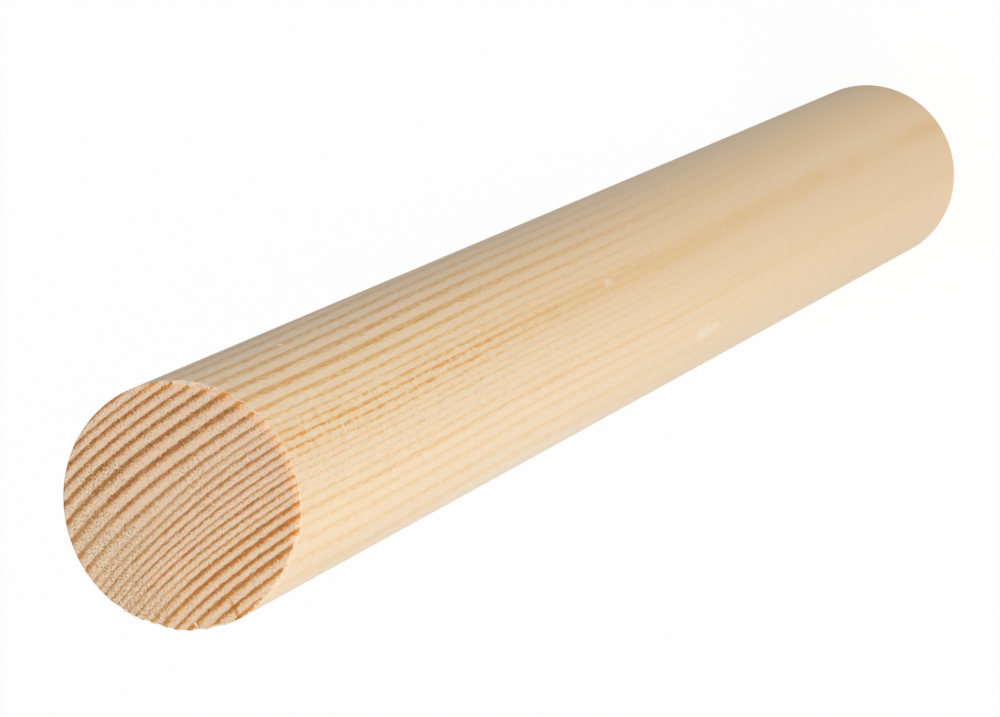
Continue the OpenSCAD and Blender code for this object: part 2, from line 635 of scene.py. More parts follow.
# %% Read how dark each year is
LINE_MIDDLE = 0.25  # the middle of the dark line lies this share of a year before its end


def year_darkness(tree, year, darkness):
    """A curve through the darkness of each year, read at the middle of its dark line."""
    points = [(0.0, darkness[0])]
    for number, width in enumerate(YEAR_WIDTHS):
        line = YEAR_EDGES[number + 1] - LINE_MIDDLE * width
        points.append(((line - YEAR_EDGES[0]) / RING_SPAN, darkness[number]))
    points.append((1.0, darkness[-1]))
    return draw_curve(tree, year, points)


print(f"darkest year of the end: number {END_DARKNESS.index(max(END_DARKNESS)) + 1}")

# %% [markdown]
# ## Fibres, rays and spots
# Wood is a bundle of long fibres, so most of its finer texture is one kind of grain, stretched
# along the fibres, along the rays or not at all. One group gives them all: it takes the size
# of a grain in millimetres each way. A second group marks one place, for a knot or a bruise.

# %% Build the grain and spot groups
def build_grain():
    """A noise that swings from about -1 to 1."""
    group, source, result = new_group(
        "Grain", [("Position", VECTOR, None), ("Grain Size", VECTOR, (1.0, 1.0, 1.0))], [("Grain", FLOAT)])
    cells = vector_calc(group, "DIVIDE", source.outputs["Position"], source.outputs["Grain Size"])
    texture = add_node(group, "ShaderNodeTexNoise",
                       {"Vector": cells.outputs[0], "Scale": 1.0, "Detail": 1.0, "Roughness": 0.5},
                       noise_dimensions="3D")
    swing = calc(group, "MULTIPLY_ADD", texture.outputs["Fac"], 2.0, -1.0)
    group.links.new(swing, result.inputs["Grain"])
    return group


def build_spot():
    """An oval mask, 1 in its middle and 0 a little outside its half size."""
    group, source, result = new_group(
        "Spot",
        [("Position", VECTOR, None), ("Centre", VECTOR, (0, 0, 0)), ("Half Size", VECTOR, (1, 1, 1))],
        [("Mask", FLOAT)])
    moved = vector_calc(group, "SUBTRACT", source.outputs["Position"], source.outputs["Centre"])
    scaled = vector_calc(group, "DIVIDE", moved.outputs[0], source.outputs["Half Size"])
    away = vector_calc(group, "LENGTH", scaled.outputs[0])
    group.links.new(smooth_step(group, away.outputs["Value"], 1.35, 0.55), result.inputs["Mask"])
    return group


grain_group = build_grain()
spot_group = build_spot()


def grain(tree, position, size):
    return place_group(tree, grain_group, {"Position": position, "Grain Size": size}).outputs["Grain"]


def spot(tree, position, centre, half_size):
    inputs = {"Position": position, "Centre": centre, "Half Size": half_size}
    return place_group(tree, spot_group, inputs).outputs["Mask"]


def strongest(tree, masks):
    """The strongest of several masks at each point."""
    together = masks[0]
    for mask in masks[1:]:
        together = calc(tree, "MAXIMUM", together, mask)
    return together


print(f"groups: {grain_group.name}, {spot_group.name}")

# %% [markdown]
# ## What dense wood does to colour
# Late wood is the same stuff as early wood, only denser, so it takes away more light: a little
# of the red, more of the green and most of the blue. A ramp of such tints, multiplied over the
# colour of the early wood, keeps both in one family, as they are in a real board.

# %% Helpers for wood colours
DENSEST = 2.9  # how many times over the densest late wood takes away the blue
TINT_STEPS = 6
# What late wood takes of red, green and blue: on the side, towards the pith and the bark
AMBER, HONEY = (0.07, 0.35, 1.0), (0.14, 0.43, 1.0)
# and on the sawn end
ORANGE, BROWN = (0.19, 0.46, 1.0), (0.28, 0.57, 1.0)


def density_tint(tree, density, kind):
    steps = []
    for i in range(TINT_STEPS + 1):
        place = i / TINT_STEPS
        steps.append((place, tuple(math.exp(-DENSEST * place * part) for part in kind) + (1.0,)))
    return colour_steps(tree, density, steps)


def darken(tree, colour, density, brownness, kinds):
    """Early wood made denser, in a tint between two kinds."""
    tint = mix_colour(tree, brownness, *(density_tint(tree, density, kind) for kind in kinds))
    return mix_colour(tree, 1.0, colour, tint, blend="MULTIPLY")


print("the densest amber lets through", [round(math.exp(-DENSEST * part), 2) for part in AMBER])

# %% Helpers that start a material
def position_in_mm(tree):
    source = add_node(tree, "ShaderNodeTexCoord")
    return vector_calc(tree, "MULTIPLY", source.outputs["Object"], (1 / MM, 1 / MM, 1 / MM)).outputs[0]


def new_material(name, roughness):
    material = bpy.data.materials.new(name)
    material.use_nodes = True
    tree = material.node_tree
    tree.nodes.clear()
    shader = add_node(tree, "ShaderNodeBsdfPrincipled", {"Roughness": roughness, "Specular IOR Level": 0.3})
    output = add_node(tree, "ShaderNodeOutputMaterial", {"Surface": shader.outputs[0]})
    output.name = "output"
    return material, tree, shader


def add_bump(tree, shader, relief, strength, depth):
    """Roughens the look of a surface. The depth is in millimetres."""
    inputs = {"Height": relief, "Strength": strength, "Distance": depth * MM}
    bump = add_node(tree, "ShaderNodeBump", inputs)
    tree.links.new(bump.outputs[0], shader.inputs["Normal"])


print("material helpers ready")

# %% [markdown]
# ## The long, sanded side
# Sanded pine is cream, with stripes where late wood reaches the surface. The stripes are wide
# and faint where the surface runs along the rings, and narrow and strong where it cuts them
# straight across. There it also follows the rays, which show as short cross flecks and break
# the stripes into dashes. The grain is boldest near the sawn end and calmer towards the foot.
# The pattern is built in short steps, and the textures that they share are made first.

# %% Gather what the side's pattern is made from
# Sizes of a grain in millimetres: across the rings, along them and up the rod
RAY_GRAIN = (0.9, 0.5, 0.4)
DASH_GRAIN = (1.0, 1.0, 2.2)
# and along X, Y and Z
FIBRE_GRAIN = (0.18, 0.18, 1.8)
STREAK_GRAIN = (0.3, 0.3, 6.0)
PATCH_GRAIN = (3.5, 3.5, 16.0)
AMBER_COMES, AMBER_GOES = (-5.0, -0.8), (4.2, -0.6)  # the warm years in the middle of the rod


def side_textures(tree):
    """The place of a point, the rings that pass through it, and the grains of its wood."""
    at = position_in_mm(tree)
    height = add_node(tree, "ShaderNodeSeparateXYZ", {0: at}).outputs["Z"]
    rings = place_group(tree, growth_rings, {"Position": at, "Comb": 0.0, "Raggedness": 0.06}).outputs
    ray_at = add_node(tree, "ShaderNodeCombineXYZ",
                      {"X": rings["Distance"], "Y": rings["Round"], "Z": height}).outputs[0]
    return SimpleNamespace(
        at=at, height=height, season=rings["Season"], year=rings["Year"],
        distance=rings["Distance"], quarter=rings["Quarter"],
        rays=grain(tree, ray_at, RAY_GRAIN), dashes=grain(tree, ray_at, DASH_GRAIN),
        fibres=grain(tree, at, FIBRE_GRAIN), streaks=grain(tree, at, STREAK_GRAIN),
        patches=grain(tree, at, PATCH_GRAIN),
        amber=calc(tree, "MULTIPLY", smooth_step(tree, rings["Distance"], *AMBER_COMES),
                   smooth_step(tree, rings["Distance"], *AMBER_GOES)))


print("the side's textures can be gathered")

# %% Say how bold the stripes are at each height
# Shares of the rod's length, and how bold the stripes are there: on the pith side, where they
# are broad, and on the rest of the rod, where they are narrow
BROAD_BOLDNESS = [
    (0, 0.04), (0.2, 0.08), (0.35, 0.2), (0.467, 0.42), (0.567, 0.56), (0.667, 0.74),
    (0.767, 0.95), (0.85, 1.0), (1, 1.0)]
NARROW_BOLDNESS = [
    (0, 0.02), (0.2, 0.03), (0.35, 0.08), (0.467, 0.16), (0.567, 0.32), (0.667, 0.5),
    (0.767, 0.78), (0.85, 0.96), (1, 1.0)]
AMBER_FADES = (235, 180)  # the heights between which the amber stripes lose half their strength


def boldness_by_height(tree, wood):
    """How bold the stripes are, and how bold the narrow ones would be."""
    up = calc(tree, "DIVIDE", wood.height, ROD_L)
    broad = draw_curve(tree, up, BROAD_BOLDNESS)
    narrow = draw_curve(tree, up, NARROW_BOLDNESS)
    narrower = smooth_step(tree, wood.distance, -6.0, -3.0)
    boldness = calc(tree, "MULTIPLY_ADD", calc(tree, "SUBTRACT", narrow, broad), narrower, broad)
    fading = calc(tree, "MULTIPLY", smooth_step(tree, wood.height, *AMBER_FADES), wood.amber)
    boldness = calc(tree, "MULTIPLY", boldness, calc(tree, "MULTIPLY_ADD", fading, -0.5, 1.0))
    return boldness, narrow


print(f"stripes are boldest above {BROAD_BOLDNESS[-2][0] * ROD_L:.0f} mm")

# %% Draw the stripes
# How dark the side is through a year: the last dark line runs on a little into the spring
STRIPE = [
    (0, 0.35), (0.07, 0.12), (0.15, 0.05), (0.38, 0.05), (0.5, 0.14), (0.6, 0.4),
    (0.7, 0.8), (0.8, 1.0), (0.92, 0.95), (1.0, 0.6)]
EVEN_STRIPE = 0.28  # a stripe that isn't bold at all is as dark as this all through the year
SIDE_STRENGTH = 1.3
FAR_PATCHES = (160, 30)  # the heights between which patches break up the amber stripes


def draw_stripes(tree, wood, boldness, crossing):
    """Stripes that fibres and streaks make ragged, and rays break into dashes."""
    season = calc(tree, "MULTIPLY_ADD", wood.fibres, 0.1, wood.season)
    season = calc(tree, "MULTIPLY_ADD", wood.streaks, 0.1, season)
    stripe = draw_curve(tree, season, STRIPE)
    broken = calc(tree, "MULTIPLY_ADD", wood.rays, 1.1, calc(tree, "MULTIPLY", wood.dashes, 0.25))
    broken = calc(tree, "MULTIPLY", broken, crossing)
    ragged = calc(tree, "MULTIPLY_ADD", wood.streaks, 0.5, 1.0)
    ragged = calc(tree, "MULTIPLY_ADD", wood.fibres, 0.9, ragged)
    stripe = calc(tree, "MULTIPLY", stripe, calc(tree, "MAXIMUM", calc(tree, "ADD", broken, ragged), 0.55))
    stripe = calc(tree, "POWER", stripe, calc(tree, "MULTIPLY_ADD", crossing, 0.5, 1.0))
    swing = calc(tree, "SUBTRACT", stripe, EVEN_STRIPE)
    return calc(tree, "MULTIPLY_ADD", swing, boldness, EVEN_STRIPE)


def stripe_strength(tree, wood):
    """How dark each year's stripe is. Far from the sawn end the amber ones come in patches."""
    darkness = year_darkness(tree, wood.year, SIDE_DARKNESS)
    strength = calc(tree, "MULTIPLY", darkness, SIDE_STRENGTH)
    patchy = calc(tree, "MULTIPLY", smooth_step(tree, wood.height, *FAR_PATCHES), wood.amber)
    patchy = calc(tree, "MULTIPLY", patchy, calc(tree, "MULTIPLY_ADD", wood.patches, 0.9, -0.3))
    return calc(tree, "MULTIPLY_ADD", strength, patchy, strength)


print(f"a stripe is darkest at {max(STRIPE, key=lambda point: point[1])[0]:.0%} of a year")

# %% [markdown]
# A few small accidents make one rod differ from the next: pale marks, which are painted highlights where
# raised splinters catch the light, and thin dark dents. Their outlines are blurred by a grain, so that no
# oval shows.

# %% Place the marks and dents
# Places on the side: angle, height, half width round the rod, half length along it, strength
# the pale marks are painted highlights, where small raised splinters catch the light
PAINTED_HIGHLIGHTS = [(-135, 139, 1.4, 6.0, 0.33), (-82.5, 178, 0.6, 1.8, 0.45), (-34.5, 273.2, 0.3, 0.9, 1.0)]
DENTS = [(-35.5, 284.5, 0.3, 1.3, 1.0), (-21, 40, 0.3, 2.0, 0.8)]
BLUR_GRAIN = (0.8, 0.8, 1.6)


def side_spot(tree, position, mark):
    angle, height, half_width, half_length, strength = mark
    turn = math.radians(angle)
    centre = (ROD_R * math.cos(turn), ROD_R * math.sin(turn), height)
    found = spot(tree, position, centre, (half_width, half_width, half_length))
    blurred = calc(tree, "MULTIPLY_ADD", grain(tree, position, BLUR_GRAIN), 0.9, found)
    return calc(tree, "MULTIPLY", smooth_step(tree, blurred, 0.2, 1.15), strength)


def side_spots(tree, position, marks):
    return strongest(tree, [side_spot(tree, position, mark) for mark in marks])


print(f"{len(PAINTED_HIGHLIGHTS)} marks and {len(DENTS)} dents on the side")

# %% Work out how dense the side looks
RAY_DENSITY = 0.34
DENSITY_LIMIT = 2.4  # no stripe is denser than this
DENSER_FROM = (-9.5, -7.0)  # past the first years from the pith the wood is a little denser


def side_density(tree, wood, stripes, narrow, crossing):
    """Stripes, rays, an amber haze, fibres and dents, as a share of the densest late wood."""
    density = calc(tree, "MULTIPLY", stripes, stripe_strength(tree, wood))
    density = calc(tree, "MULTIPLY_ADD", calc(tree, "MULTIPLY", wood.rays, crossing), RAY_DENSITY, density)
    haze = calc(tree, "MULTIPLY", smooth_step(tree, wood.dashes, -0.2, 0.4), narrow)
    haze = calc(tree, "MULTIPLY", wood.amber, calc(tree, "MULTIPLY_ADD", haze, 0.25, 0.05))
    density = calc(tree, "ADD", density, haze)
    denser = smooth_step(tree, wood.distance, *DENSER_FROM)
    density = calc(tree, "MULTIPLY_ADD", denser, 0.07, density)
    faint = calc(tree, "MULTIPLY", wood.fibres, calc(tree, "MULTIPLY_ADD", narrow, 0.28, 0.04))
    density = calc(tree, "ADD", density, faint)
    density = calc(tree, "MULTIPLY_ADD", side_spots(tree, wood.at, DENTS), 0.5, density)
    return calc(tree, "DIVIDE", calc(tree, "MINIMUM", density, DENSITY_LIMIT), DENSEST, clamp=True)


print(f"no stripe passes {DENSITY_LIMIT / DENSEST:.0%} of the densest late wood")

# %% Colour the side
# Early wood near the sawn end and near the foot, as it is on most of the rod
SIDE_CREAM = screen(247, 222, 189), screen(243, 217, 182)
# early wood towards the bark: partly its own paler colour and partly painted light that lifts the shaded
# side
BARK_CREAM_AND_FILL_LIGHT = screen(252, 227, 195), screen(246, 225, 197)
PITH_CREAM = screen(251, 232, 206)
# the colour of the painted highlights on the pale marks
HIGHLIGHT_WHITE = screen(255, 245, 224)
# the lip's pale cream is partly frayed fibres and partly a painted highlight where the sharp edge catches
# the light
LIP_CREAM_AND_HIGHLIGHT = screen(253, 229, 206)
CALM_FROM, CALM_TO = 230, 60  # the heights between which the side turns to its calm colours
LIP = (0.6, 0.1)  # how far below the sawn end the pale lip starts, and where it is full


def early_wood_of_side(tree, wood):
    """Cream, a little paler at the edge towards the pith, and paler towards the bark, where the paleness is
    partly the wood and partly painted light on the shaded side.
    """
    calm = smooth_step(tree, wood.height, CALM_FROM, CALM_TO)
    early = mix_colour(tree, calm, *SIDE_CREAM)
    pith_edge = smooth_step(tree, wood.distance, -12.4, -14.4)
    pith_edge = calc(tree, "MULTIPLY", pith_edge, calc(tree, "MULTIPLY_ADD", calm, -0.7, 1.0))
    early = mix_colour(tree, pith_edge, early, PITH_CREAM)
    # towards the bark the cream is partly painted light on the shaded side
    bark_edge_and_fill_light = mix_colour(tree, calm, *BARK_CREAM_AND_FILL_LIGHT)
    return mix_colour(tree, smooth_step(tree, wood.distance, -4.0, 8.0), early, bark_edge_and_fill_light)


def side_colour(tree, wood, density):
    """Early wood darkened by its density, with pale marks that are painted highlights, and a pale lip at
    the sawn end that is partly a painted highlight.
    """
    brownness = smooth_step(tree, wood.distance, 1.5, 9.0)
    colour = darken(tree, early_wood_of_side(tree, wood), density, brownness, (AMBER, HONEY))
    # the pale marks: painted highlights on raised splinters
    colour = mix_colour(tree, side_spots(tree, wood.at, PAINTED_HIGHLIGHTS), colour, HIGHLIGHT_WHITE)
    # the pale lip below the sawn end: frayed fibres, with a painted highlight along the sharp edge
    lip_start, lip_full = LIP
    frayed = calc(tree, "MULTIPLY_ADD", wood.dashes, 0.8, wood.height)
    lip_and_highlight = smooth_step(tree, frayed, ROD_L - lip_start, ROD_L - lip_full)
    return mix_colour(tree, calc(tree, "MULTIPLY", lip_and_highlight, 0.7), colour, LIP_CREAM_AND_HIGHLIGHT)


print(f"the side turns calm from {CALM_FROM} to {CALM_TO} mm")

# %% Make the side's material
SIDE_ROUGHNESS = 0.55


def make_side_material():
    material, tree, shader = new_material("pine_side", SIDE_ROUGHNESS)
    wood = side_textures(tree)
    boldness, narrow = boldness_by_height(tree, wood)
    crossing = calc(tree, "MULTIPLY", wood.quarter, calc(tree, "POWER", narrow, 2.0))
    stripes = draw_stripes(tree, wood, boldness, crossing)
    density = side_density(tree, wood, stripes, narrow, crossing)
    tree.links.new(side_colour(tree, wood, density), shader.inputs["Base Color"])
    roughness = calc(tree, "MULTIPLY_ADD", wood.fibres, 0.05, SIDE_ROUGHNESS)
    tree.links.new(roughness, shader.inputs["Roughness"])
    add_bump(tree, shader, calc(tree, "MULTIPLY_ADD", wood.rays, crossing, wood.fibres), 0.25, 0.03)
    return material


rod.data.materials.append(make_side_material())
print(f"side material: {len(rod.data.materials[SIDE].node_tree.nodes)} nodes")

# %% [markdown]
# ## The sawn end
# Sawn end grain is darker than the side, because light sinks into the open ends of the fibres.
# The late wood is orange brown, blotched along each ring, and combed by the rays on its pith side. The
# early wood is mottled, with torn pits and pale ends of fibres, most of all where the saw pulled it into
# fuzz. The dark of the pits and fine holes is partly painted shade, and the pale fibre ends are partly
# painted highlights, of the fine roughness.

# %% Gather what the sawn end's pattern is made from
# Sizes of a grain in millimetres: across the rings and along them
BLOTCH_GRAIN = (1.2, 0.7, 1.0)
HAIR_GRAIN = (0.5, 0.13, 1.0)
TICK_GRAIN = (0.32, 0.15, 1.0)
# and along X and Y
MOTTLE_GRAIN = (0.5, 0.5, 1.0)
HUE_GRAIN = (0.35, 0.7, 1.0)
SPECKLE_GRAIN = (0.15, 0.15, 1.0)


def end_textures(tree):
    """The place of a point, the rings that pass through it, and the grains of its wood."""
    at = position_in_mm(tree)
    x, y, _ = add_node(tree, "ShaderNodeSeparateXYZ", {0: at}).outputs
    flat = add_node(tree, "ShaderNodeCombineXYZ", {"X": x, "Y": y}).outputs[0]
    rings = place_group(tree, growth_rings, {"Position": at, "Comb": 0.6, "Raggedness": 0.06}).outputs
    ring_at = add_node(tree, "ShaderNodeCombineXYZ",
                       {"X": rings["Distance"], "Y": rings["Round"]}).outputs[0]
    speckle = grain(tree, flat, SPECKLE_GRAIN)
    return SimpleNamespace(
        at=at, x=x, y=y, flat=flat, season=rings["Season"], year=rings["Year"], distance=rings["Distance"],
        blotches=grain(tree, ring_at, BLOTCH_GRAIN), hairs=grain(tree, ring_at, HAIR_GRAIN),
        ticks=grain(tree, ring_at, TICK_GRAIN), mottle=grain(tree, flat, MOTTLE_GRAIN),
        # light marks pale fibre ends, partly their own colour and partly painted highlights
        hue=grain(tree, flat, HUE_GRAIN), speckle=speckle, light=smooth_step(tree, speckle, 0.06, 0.26))


print("the sawn end's textures can be gathered")

# %% Place the rough patches
# Places on the sawn end: where they lie along X and Y, and how far they reach each way
BRANCH_TRACE = (-12.8, -0.43, 1.15, 0.24)
PALE_PLACES = [
    (-12.3, 4.6, 0.55, 0.12), (11.6, -7.6, 0.45, 0.5), (10.7, -8.9, 0.4, 0.35), (12.3, -6.6, 0.3, 0.3)]
PITTED = [(1.8, 11.2, 1.6, 2.2), (-0.7, 7.5, 0.8, 0.6), (6.5, 7.0, 1.8, 3.5)]
FLECKED = (3.0, -3.0, 3.2, 2.0)
FLECKED_SHARE = 0.4
SPOT_HEIGHT = 2.0  # tall enough for the whole relief of the sawn end


def end_spots(tree, position, places):
    return strongest(tree, [spot(tree, position, (x, y, ROD_L), (half_x, half_y, SPOT_HEIGHT))
                            for x, y, half_x, half_y in places])


def roughness_of_end(tree, wood):
    """Where the saw pulled up fuzz, and where the early wood is rough for any reason."""
    torn = end_spots(tree, wood.at, FUZZ_PATCHES)
    pitted = end_spots(tree, wood.at, PITTED)
    flecked = calc(tree, "MULTIPLY", end_spots(tree, wood.at, [FLECKED]), FLECKED_SHARE)
    return torn, strongest(tree, [torn, pitted, flecked])


print(f"{len(FUZZ_PATCHES) + len(PITTED) + 1} rough patches on the sawn end")

# %% Draw the late wood of the sawn end
# How dark the end is through a year: it darkens slowly, and the line ends at once
LATE_LINE = [
    (0, 0), (0.26, 0.0), (0.37, 0.05), (0.46, 0.12), (0.53, 0.22), (0.59, 0.4), (0.64, 0.66),
    (0.7, 0.94), (0.75, 1.0), (0.85, 1.0), (0.9, 0.6), (0.945, 0.06), (1, 0)]
END_STRENGTH = 1.42


def late_wood_of_end(tree, wood, torn):
    """Dark lines, weaker in the fuzz and in one corner, and blotched and crossed by rays."""
    late = calc(tree, "MULTIPLY", draw_curve(tree, wood.season, LATE_LINE),
                calc(tree, "MULTIPLY_ADD", torn, -0.4, 1.0))
    corner = calc(tree, "MULTIPLY", smooth_step(tree, wood.y, -1.0, 6.0),
                  smooth_step(tree, wood.distance, -3.0, -8.0))
    strength = calc(tree, "MULTIPLY", year_darkness(tree, wood.year, END_DARKNESS),
                    calc(tree, "MULTIPLY_ADD", corner, -0.35, 1.0))
    density = calc(tree, "MULTIPLY", calc(tree, "MULTIPLY", late, strength), END_STRENGTH)
    crossed = smooth_step(tree, wood.hairs, 0.02, 0.22)
    uneven = calc(tree, "MULTIPLY_ADD", crossed, -0.35, 1.16)
    uneven = calc(tree, "MULTIPLY_ADD", wood.blotches, 0.45, uneven)
    uneven = calc(tree, "MULTIPLY_ADD", wood.light, -0.5, uneven)
    return calc(tree, "MULTIPLY", density, calc(tree, "MAXIMUM", uneven, 0.1))


print(f"the late wood of the end is {END_STRENGTH / SIDE_STRENGTH:.2f} times as strong as on the side")

# %% Add the holes, the pits and a branch trace
def holes_and_pits(tree, wood, density, rough):
    """Fine holes and larger pits, both stronger where the wood is rough, and a dark trace. The dark of the
    holes and pits is partly painted shade.
    """
    # the dark of the fine holes and the pits is partly their own colour and partly painted shade
    holes_and_shade = smooth_step(tree, wood.speckle, -0.08, -0.3)
    hole_and_shade_share = calc(tree, "MULTIPLY_ADD", rough, 0.08, 0.06)
    density = calc(tree, "MULTIPLY_ADD", holes_and_shade, hole_and_shade_share, density)
    pits = smooth_step(tree, calc(tree, "MULTIPLY_ADD", rough, 0.08, wood.ticks), 0.24, 0.32)
    pit_and_shade_share = calc(tree, "MULTIPLY_ADD", rough, 0.2, 0.26)
    density = calc(tree, "MULTIPLY_ADD", pits, pit_and_shade_share, density)
    trace = end_spots(tree, wood.at, [BRANCH_TRACE])
    trace_share = calc(tree, "MULTIPLY_ADD", wood.speckle, 0.5, 0.45)
    return calc(tree, "MULTIPLY_ADD", trace, trace_share, density), pits


print(f"a branch trace {2 * BRANCH_TRACE[2]:.1f} mm long points at the pith")

# %% [markdown]
# Two things happen along the front of the rim. The sharp edge has been rubbed off and shows cream, in a
# band whose width is drawn as a curve. Just inside it, light from the pale side shines through the thin
# wood, so the late wood glows orange there and isn't brown; this glow is painted into the colour.

# %% Draw the rubbed edge and the glow along the front
# How wide the cream edge is, from the end of the front on the bark side to that on the pith side
CREAM_WIDTH = [
    (0, 0.15), (0.06, 0.15), (0.13, 0.55), (0.22, 0.5), (0.28, 0.25), (0.36, 0.2),
    (0.66, 0.2), (0.74, 0.65), (0.9, 0.75), (0.96, 0.15), (1, 0.15)]
FRONT_SIDE = [(0, 0), (0.12, 1), (0.88, 1), (1, 0)]
# the painted glow of light through the thin wood along the front
PAINTED_GLOW_REACH = (-1.5, -0.2)  # the glow starts this far in from the rim, and here it is full


def front_rim(tree, wood):
    """Where the edge is rubbed off, and where a glow of light through the thin wood behind it is painted.
    """
    radius = vector_calc(tree, "LENGTH", wood.flat).outputs["Value"]
    bearing = calc(tree, "ARCTAN2", wood.y, wood.x)
    along_front = calc(tree, "MULTIPLY", bearing, -1 / math.pi, clamp=True)
    inward = calc(tree, "MULTIPLY_ADD", wood.mottle, 0.6, calc(tree, "SUBTRACT", radius, ROD_R))
    cream_width = draw_curve(tree, along_front, CREAM_WIDTH)
    rubbed = smooth_step(tree, calc(tree, "ADD", inward, cream_width), 0.15, 0.35)
    front_side = draw_curve(tree, along_front, FRONT_SIDE)
    return rubbed, calc(tree, "MULTIPLY", front_side, smooth_step(tree, inward, *PAINTED_GLOW_REACH))


print(f"the cream edge is up to {max(width for _, width in CREAM_WIDTH)} mm wide")

# %% Colour the sawn end
# Early wood comes in two mottled colours, on the pith side and on the rest of the end
PITH_MOTTLE = screen(248, 211, 187), screen(240, 216, 182)
BARK_MOTTLE = screen(242, 207, 184), screen(235, 212, 178)
FUZZ_CREAM = screen(255, 229, 197)
# pale fibre ends, partly their own colour and partly a painted highlight
FIBRE_WHITE_AND_HIGHLIGHT = screen(255, 234, 207)
# the colour of the painted glow
PAINTED_GLOW_CREAM = screen(249, 210, 178)
RING_CREAM = screen(250, 225, 190)
EDGE_CREAM = screen(247, 226, 197)
# How pale the thin edge is where one year ends and the next begins
SPRING_EDGE = [(0, 0.7), (0.06, 0.3), (0.12, 0), (0.92, 0), (0.97, 1), (1, 1)]


def early_wood_of_end(tree, wood, rough):
    """Mottled early wood, paler where it is rough and where the end of a fibre stands up, which is partly a
    painted highlight.
    """
    patch = smooth_step(tree, wood.mottle, -0.3, 0.3)
    early = mix_colour(tree, patch, *PITH_MOTTLE)
    outer = mix_colour(tree, patch, *BARK_MOTTLE)
    early = mix_colour(tree, smooth_step(tree, wood.distance, -6.0, 2.0), early, outer)
    early = mix_colour(tree, calc(tree, "MULTIPLY", rough, 0.8), early, FUZZ_CREAM)
    fibre_and_highlight_share = calc(tree, "MULTIPLY_ADD", rough, 0.25, 0.3)
    return mix_colour(tree, calc(tree, "MULTIPLY", wood.light, fibre_and_highlight_share), early, FIBRE_WHITE_AND_HIGHLIGHT)


def late_wood_colour(tree, wood, early, density, glow):
    """Orange near the pith and brown towards the bark, with a painted glow of light through the wood along
    the front.
    """
    brownness = smooth_step(tree, wood.distance, -9.0, -3.0)
    brownness = calc(tree, "MULTIPLY", brownness, calc(tree, "MULTIPLY_ADD", glow, -0.7, 1.0))
    brownness = calc(tree, "MULTIPLY_ADD", wood.hue, 1.6, brownness, clamp=True)
    colour = darken(tree, early, density, brownness, (ORANGE, BROWN))
    # glow marks a painted glow: light shining through the thin wood, put into the colour
    painted_glow_colour = mix_colour(tree, 1.0, PAINTED_GLOW_CREAM, density_tint(tree, density, AMBER), blend="MULTIPLY")
    return mix_colour(tree, calc(tree, "MULTIPLY", glow, 0.75), colour, painted_glow_colour)


def pale_edges(tree, wood, colour, rubbed):
    """The thin pale edge of each ring, and the cream where the rim is rubbed off."""
    edge = calc(tree, "MULTIPLY", draw_curve(tree, wood.season, SPRING_EDGE),
                smooth_step(tree, wood.ticks, -0.3, 0.1))
    colour = mix_colour(tree, calc(tree, "MULTIPLY", edge, 0.35), colour, RING_CREAM)
    cream = [calc(tree, "MULTIPLY", rubbed, 0.75), end_spots(tree, wood.at, PALE_PLACES)]
    return mix_colour(tree, strongest(tree, cream), colour, EDGE_CREAM)


print(f"{len(PALE_PLACES)} pale places on the sawn end")

# %% Make the sawn end's material
def make_end_material():
    material, tree, shader = new_material("pine_sawn_end", 0.85)
    wood = end_textures(tree)
    torn, rough = roughness_of_end(tree, wood)
    density, pits = holes_and_pits(tree, wood, late_wood_of_end(tree, wood, torn), rough)
    # glow is where a glow of light through the thin wood is painted
    rubbed, glow = front_rim(tree, wood)
    kept = calc(tree, "MULTIPLY_ADD", rubbed, -0.75, 1.0)
    density = calc(tree, "MULTIPLY", density, kept, clamp=True)
    early = early_wood_of_end(tree, wood, rough)
    colour = late_wood_colour(tree, wood, early, density, glow)
    tree.links.new(pale_edges(tree, wood, colour, rubbed), shader.inputs["Base Color"])
    relief = calc(tree, "MULTIPLY_ADD", pits, -0.4, wood.speckle)
    relief = calc(tree, "MULTIPLY", relief, calc(tree, "MULTIPLY_ADD", rough, 1.0, 1.0))
    add_bump(tree, shader, relief, 1.0, 0.06)
    return material


rod.data.materials.append(make_end_material())
print(f"sawn end material: {len(rod.data.materials[SAWN_END].node_tree.nodes)} nodes")

# %% [markdown]
# ## The foot
# The foot was cut with a fine saw and sanded. It shows the same rings as the other end, but
# smooth, even and paler.

# %% Make the foot's material
FOOT_CREAM = screen(236, 208, 174)
FOOT_LINE = [(0, 0), (0.4, 0.0), (0.6, 0.25), (0.75, 0.9), (0.93, 1.0), (1, 0)]
FOOT_STRENGTH = 0.7
PORE_GRAIN = (0.2, 0.2, 0.2)


def make_foot_material():
    material, tree, shader = new_material("pine_foot", 0.65)
    at = position_in_mm(tree)
    rings = place_group(tree, growth_rings, {"Position": at, "Comb": 0.25, "Raggedness": 0.04}).outputs
    late = draw_curve(tree, rings["Season"], FOOT_LINE)
    strength = year_darkness(tree, rings["Year"], END_DARKNESS)
    pores = grain(tree, at, PORE_GRAIN)
    density = calc(tree, "MULTIPLY", calc(tree, "MULTIPLY", late, strength), FOOT_STRENGTH)
    density = calc(tree, "MULTIPLY_ADD", pores, 0.05, density, clamp=True)
    brownness = smooth_step(tree, rings["Distance"], -8.0, -3.0)
    colour = darken(tree, FOOT_CREAM, density, brownness, (ORANGE, BROWN))
    tree.links.new(colour, shader.inputs["Base Color"])
    add_bump(tree, shader, pores, 0.3, 0.03)
    return material


rod.data.materials.append(make_foot_material())
print(f"foot material: {len(rod.data.materials[FOOT].node_tree.nodes)} nodes")

# %% [markdown]
# ## Floor and light
# The rod stands on a wide white floor. Where the camera sees the floor, it glows almost as
# bright as paper, but it still lights the rod like plain paint and still takes a shadow.

# %% Lay the floor
FLOOR_SIZE = 3.0  # half its width, in metres
FLOOR_WHITE = (0.92, 0.92, 0.92, 1)
FLOOR_GLOW = 0.96  # how much of the floor that the camera sees is its own glow


